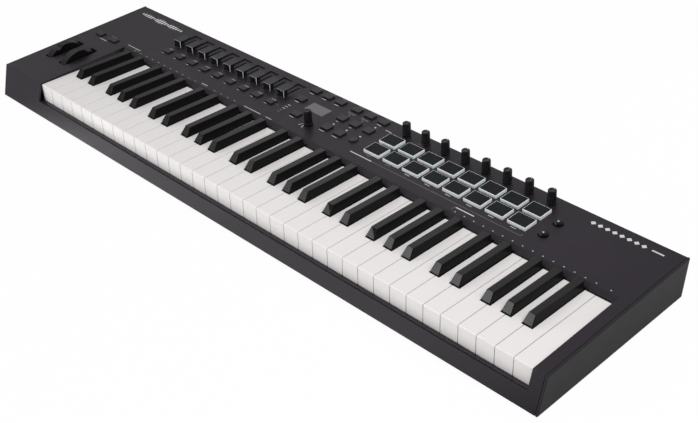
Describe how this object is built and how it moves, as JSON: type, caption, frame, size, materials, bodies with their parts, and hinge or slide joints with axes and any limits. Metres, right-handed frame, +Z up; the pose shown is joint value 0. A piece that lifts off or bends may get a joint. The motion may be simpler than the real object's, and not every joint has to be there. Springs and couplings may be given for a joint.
{
  "type": "keyboard synthesizer controller",
  "caption": "Slab keyboard with full-size piano keys, pitch and modulation wheels, faders, rotary knobs, drum pads, transport buttons and a small display.",
  "frame": {"origin": "bottom centre of the whole object: centre of its width and depth, on the plane the feet stand on", "axes": "+X to the player's right (treble end), -Y towards the player, +Z up"},
  "size_m": [0.956, 0.2588, 0.0729],
  "materials": {
    "case_plastic": "fine-textured satin black",
    "cap_plastic": "fine-textured satin dark grey",
    "white_key_plastic": "semi-gloss white",
    "black_key_plastic": "satin black",
    "fader_plastic": "gloss black",
    "knob_rubber": "soft-touch black",
    "wheel_rubber": "soft-touch black",
    "button_rubber": "matte dark grey",
    "pad_rubber": "matte black top on a translucent pale skirt",
    "display_window": "smoked",
    "foot_rubber": "matte",
    "frame_plastic": "moulded",
    "component_plastic": "moulded",
    "component_metal": "stamped",
    "circuit_board": "green solder mask",
    "contact_rubber": "matte grey",
    "felt": "needle felt",
    "steel": "zinc plated"
  },
  "bodies": {
    "case": {"top_cover": "case_plastic", "bottom_case": "case_plastic", "end_caps": "cap_plastic", "case_screws": "steel", "rubber_feet": "foot_rubber", "key_chassis": "frame_plastic", "key_pivot_rod": "steel", "key_springs": "steel", "key_stop_felts": "felt", "key_contact_board": "circuit_board", "key_contact_strips": "contact_rubber", "button_switches": "component_plastic", "circuit_boards": "circuit_board", "slide_and_rotary_pots": "component_metal", "display_window": "display_window", "display_module": "component_plastic", "wheel_bracket_and_axle": "frame_plastic", "rear_connector_plate": "cap_plastic", "jack_sockets": "component_plastic", "data_and_power_sockets": "component_plastic"},
    "keys_c": {"keys_c": "white_key_plastic"},
    "keys_c_sharp": {"keys_c_sharp": "black_key_plastic"},
    "keys_d": {"keys_d": "white_key_plastic"},
    "keys_d_sharp": {"keys_d_sharp": "black_key_plastic"},
    "keys_e": {"keys_e": "white_key_plastic"},
    "keys_f": {"keys_f": "white_key_plastic"},
    "keys_f_sharp": {"keys_f_sharp": "black_key_plastic"},
    "keys_g": {"keys_g": "white_key_plastic"},
    "keys_g_sharp": {"keys_g_sharp": "black_key_plastic"},
    "keys_a": {"keys_a": "white_key_plastic"},
    "keys_a_sharp": {"keys_a_sharp": "black_key_plastic"},
    "keys_b": {"keys_b": "white_key_plastic"},
    "fader_1": {"fader_cap_1": "fader_plastic"},
    "fader_2": {"fader_cap_2": "fader_plastic"},
    "fader_3": {"fader_cap_3": "fader_plastic"},
    "fader_4": {"fader_cap_4": "fader_plastic"},
    "fader_5": {"fader_cap_5": "fader_plastic"},
    "fader_6": {"fader_cap_6": "fader_plastic"},
    "fader_7": {"fader_cap_7": "fader_plastic"},
    "fader_8": {"fader_cap_8": "fader_plastic"},
    "fader_9": {"fader_cap_9": "fader_plastic"},
    "knob_1": {"knob_1": "knob_rubber"},
    "knob_2": {"knob_2": "knob_rubber"},
    "knob_3": {"knob_3": "knob_rubber"},
    "knob_4": {"knob_4": "knob_rubber"},
    "knob_5": {"knob_5": "knob_rubber"},
    "knob_6": {"knob_6": "knob_rubber"},
    "knob_7": {"knob_7": "knob_rubber"},
    "knob_8": {"knob_8": "knob_rubber"},
    "encoder": {"encoder_knob": "knob_rubber"},
    "pads_front": {"pads_front_row": "pad_rubber"},
    "pads_rear": {"pads_rear_row": "pad_rubber"},
    "fader_buttons": {"fader_buttons": "button_rubber"},
    "function_buttons": {"function_buttons": "button_rubber"},
    "transport_buttons": {"transport_buttons": "button_rubber"},
    "octave_buttons": {"octave_buttons": "button_rubber"},
    "bank_buttons": {"bank_buttons": "button_rubber"},
    "pitch_wheel": {"pitch_wheel": "wheel_rubber"},
    "mod_wheel": {"mod_wheel": "wheel_rubber"},
    "power_switch": {"power_rocker": "knob_rubber"}
  },
  "joints": [
    {"name": "press_c", "type": "hinge", "parent": "case", "child": "keys_c", "pos_m": [0.035, 0.075, 0.031], "axis": [1, 0, 0], "range_deg": [0, 3], "stiffness_Nm_per_rad": 12},
    {"name": "press_c_sharp", "type": "hinge", "parent": "case", "child": "keys_c_sharp", "pos_m": [0.035, 0.075, 0.031], "axis": [1, 0, 0], "range_deg": [0, 3], "stiffness_Nm_per_rad": 12},
    {"name": "press_d", "type": "hinge", "parent": "case", "child": "keys_d", "pos_m": [0.035, 0.075, 0.031], "axis": [1, 0, 0], "range_deg": [0, 3], "stiffness_Nm_per_rad": 12},
    {"name": "press_d_sharp", "type": "hinge", "parent": "case", "child": "keys_d_sharp", "pos_m": [0.035, 0.075, 0.031], "axis": [1, 0, 0], "range_deg": [0, 3], "stiffness_Nm_per_rad": 12},
    {"name": "press_e", "type": "hinge", "parent": "case", "child": "keys_e", "pos_m": [0.035, 0.075, 0.031], "axis": [1, 0, 0], "range_deg": [0, 3], "stiffness_Nm_per_rad": 12},
    {"name": "press_f", "type": "hinge", "parent": "case", "child": "keys_f", "pos_m": [0.035, 0.075, 0.031], "axis": [1, 0, 0], "range_deg": [0, 3], "stiffness_Nm_per_rad": 12},
    {"name": "press_f_sharp", "type": "hinge", "parent": "case", "child": "keys_f_sharp", "pos_m": [0.035, 0.075, 0.031], "axis": [1, 0, 0], "range_deg": [0, 3], "stiffness_Nm_per_rad": 12},
    {"name": "press_g", "type": "hinge", "parent": "case", "child": "keys_g", "pos_m": [0.035, 0.075, 0.031], "axis": [1, 0, 0], "range_deg": [0, 3], "stiffness_Nm_per_rad": 12},
    {"name": "press_g_sharp", "type": "hinge", "parent": "case", "child": "keys_g_sharp", "pos_m": [0.035, 0.075, 0.031], "axis": [1, 0, 0], "range_deg": [0, 3], "stiffness_Nm_per_rad": 12},
    {"name": "press_a", "type": "hinge", "parent": "case", "child": "keys_a", "pos_m": [0.035, 0.075, 0.031], "axis": [1, 0, 0], "range_deg": [0, 3], "stiffness_Nm_per_rad": 12},
    {"name": "press_a_sharp", "type": "hinge", "parent": "case", "child": "keys_a_sharp", "pos_m": [0.035, 0.075, 0.031], "axis": [1, 0, 0], "range_deg": [0, 3], "stiffness_Nm_per_rad": 12},
    {"name": "press_b", "type": "hinge", "parent": "case", "child": "keys_b", "pos_m": [0.035, 0.075, 0.031], "axis": [1, 0, 0], "range_deg": [0, 3], "stiffness_Nm_per_rad": 12},
    {"name": "slide_fader_1", "type": "slide", "parent": "case", "child": "fader_1", "axis": [0, 0.9998, 0.0215], "range_m": [0, 0.02]},
    {"name": "slide_fader_2", "type": "slide", "parent": "case", "child": "fader_2", "axis": [0, 0.9998, 0.0215], "range_m": [0, 0.02]},
    {"name": "slide_fader_3", "type": "slide", "parent": "case", "child": "fader_3", "axis": [0, 0.9998, 0.0215], "range_m": [0, 0.02]},
    {"name": "slide_fader_4", "type": "slide", "parent": "case", "child": "fader_4", "axis": [0, 0.9998, 0.0215], "range_m": [0, 0.02]},
    {"name": "slide_fader_5", "type": "slide", "parent": "case", "child": "fader_5", "axis": [0, 0.9998, 0.0215], "range_m": [0, 0.02]},
    {"name": "slide_fader_6", "type": "slide", "parent": "case", "child": "fader_6", "axis": [0, 0.9998, 0.0215], "range_m": [0, 0.02]},
    {"name": "slide_fader_7", "type": "slide", "parent": "case", "child": "fader_7", "axis": [0, 0.9998, 0.0215], "range_m": [0, 0.02]},
    {"name": "slide_fader_8", "type": "slide", "parent": "case", "child": "fader_8", "axis": [0, 0.9998, 0.0215], "range_m": [0, 0.02]},
    {"name": "slide_fader_9", "type": "slide", "parent": "case", "child": "fader_9", "axis": [0, 0.9998, 0.0215], "range_m": [0, 0.02]},
    {"name": "turn_knob_1", "type": "hinge", "parent": "case", "child": "knob_1", "pos_m": [0.0836, 0.1145, 0.05293], "axis": [0, -0.0215, 0.9998], "range_deg": [-150, 150]},
    {"name": "turn_knob_2", "type": "hinge", "parent": "case", "child": "knob_2", "pos_m": [0.11555, 0.1145, 0.05293], "axis": [0, -0.0215, 0.9998], "range_deg": [-150, 150]},
    {"name": "turn_knob_3", "type": "hinge", "parent": "case", "child": "knob_3", "pos_m": [0.1475, 0.1145, 0.05293], "axis": [0, -0.0215, 0.9998], "range_deg": [-150, 150]},
    {"name": "turn_knob_4", "type": "hinge", "parent": "case", "child": "knob_4", "pos_m": [0.17945, 0.1145, 0.05293], "axis": [0, -0.0215, 0.9998], "range_deg": [-150, 150]},
    {"name": "turn_knob_5", "type": "hinge", "parent": "case", "child": "knob_5", "pos_m": [0.2114, 0.1145, 0.05293], "axis": [0, -0.0215, 0.9998], "range_deg": [-150, 150]},
    {"name": "turn_knob_6", "type": "hinge", "parent": "case", "child": "knob_6", "pos_m": [0.24335, 0.1145, 0.05293], "axis": [0, -0.0215, 0.9998], "range_deg": [-150, 150]},
    {"name": "turn_knob_7", "type": "hinge", "parent": "case", "child": "knob_7", "pos_m": [0.2753, 0.1145, 0.05293], "axis": [0, -0.0215, 0.9998], "range_deg": [-150, 150]},
    {"name": "turn_knob_8", "type": "hinge", "parent": "case", "child": "knob_8", "pos_m": [0.30725, 0.1145, 0.05293], "axis": [0, -0.0215, 0.9998], "range_deg": [-150, 150]},
    {"name": "turn_encoder", "type": "hinge", "parent": "case", "child": "encoder", "pos_m": [-0.0289, 0.0515, 0.05158], "axis": [0, -0.0215, 0.9998], "continuous": true},
    {"name": "press_front_pads", "type": "slide", "parent": "case", "child": "pads_front", "axis": [0, 0.0215, -0.9998], "range_m": [0, 0.0008], "stiffness_N_per_m": 3000},
    {"name": "press_rear_pads", "type": "slide", "parent": "case", "child": "pads_rear", "axis": [0, 0.0215, -0.9998], "range_m": [0, 0.0008], "stiffness_N_per_m": 3000},
    {"name": "press_fader_buttons", "type": "slide", "parent": "case", "child": "fader_buttons", "axis": [0, 0.0215, -0.9998], "range_m": [0, 0.001], "stiffness_N_per_m": 1500},
    {"name": "press_function_buttons", "type": "slide", "parent": "case", "child": "function_buttons", "axis": [0, 0.0215, -0.9998], "range_m": [0, 0.001], "stiffness_N_per_m": 1500},
    {"name": "press_transport_buttons", "type": "slide", "parent": "case", "child": "transport_buttons", "axis": [0, 0.0215, -0.9998], "range_m": [0, 0.001], "stiffness_N_per_m": 1500},
    {"name": "press_octave_buttons", "type": "slide", "parent": "case", "child": "octave_buttons", "axis": [0, 0.0215, -0.9998], "range_m": [0, 0.001], "stiffness_N_per_m": 1500},
    {"name": "press_bank_buttons", "type": "slide", "parent": "case", "child": "bank_buttons", "axis": [0, 0.0215, -0.9998], "range_m": [0, 0.001], "stiffness_N_per_m": 1500},
    {"name": "bend_pitch_wheel", "type": "hinge", "parent": "case", "child": "pitch_wheel", "pos_m": [-0.4508, -0.03601, 0.02669], "axis": [1, 0, 0], "range_deg": [-35, 35], "stiffness_Nm_per_rad": 0.2},
    {"name": "turn_mod_wheel", "type": "hinge", "parent": "case", "child": "mod_wheel", "pos_m": [-0.4171, -0.03601, 0.02669], "axis": [1, 0, 0], "range_deg": [0, 56]},
    {"name": "flip_power_switch", "type": "hinge", "parent": "case", "child": "power_switch", "pos_m": [-0.322, 0.1184, 0.023], "axis": [1, 0, 0], "range_deg": [0, 22]}
  ]
}
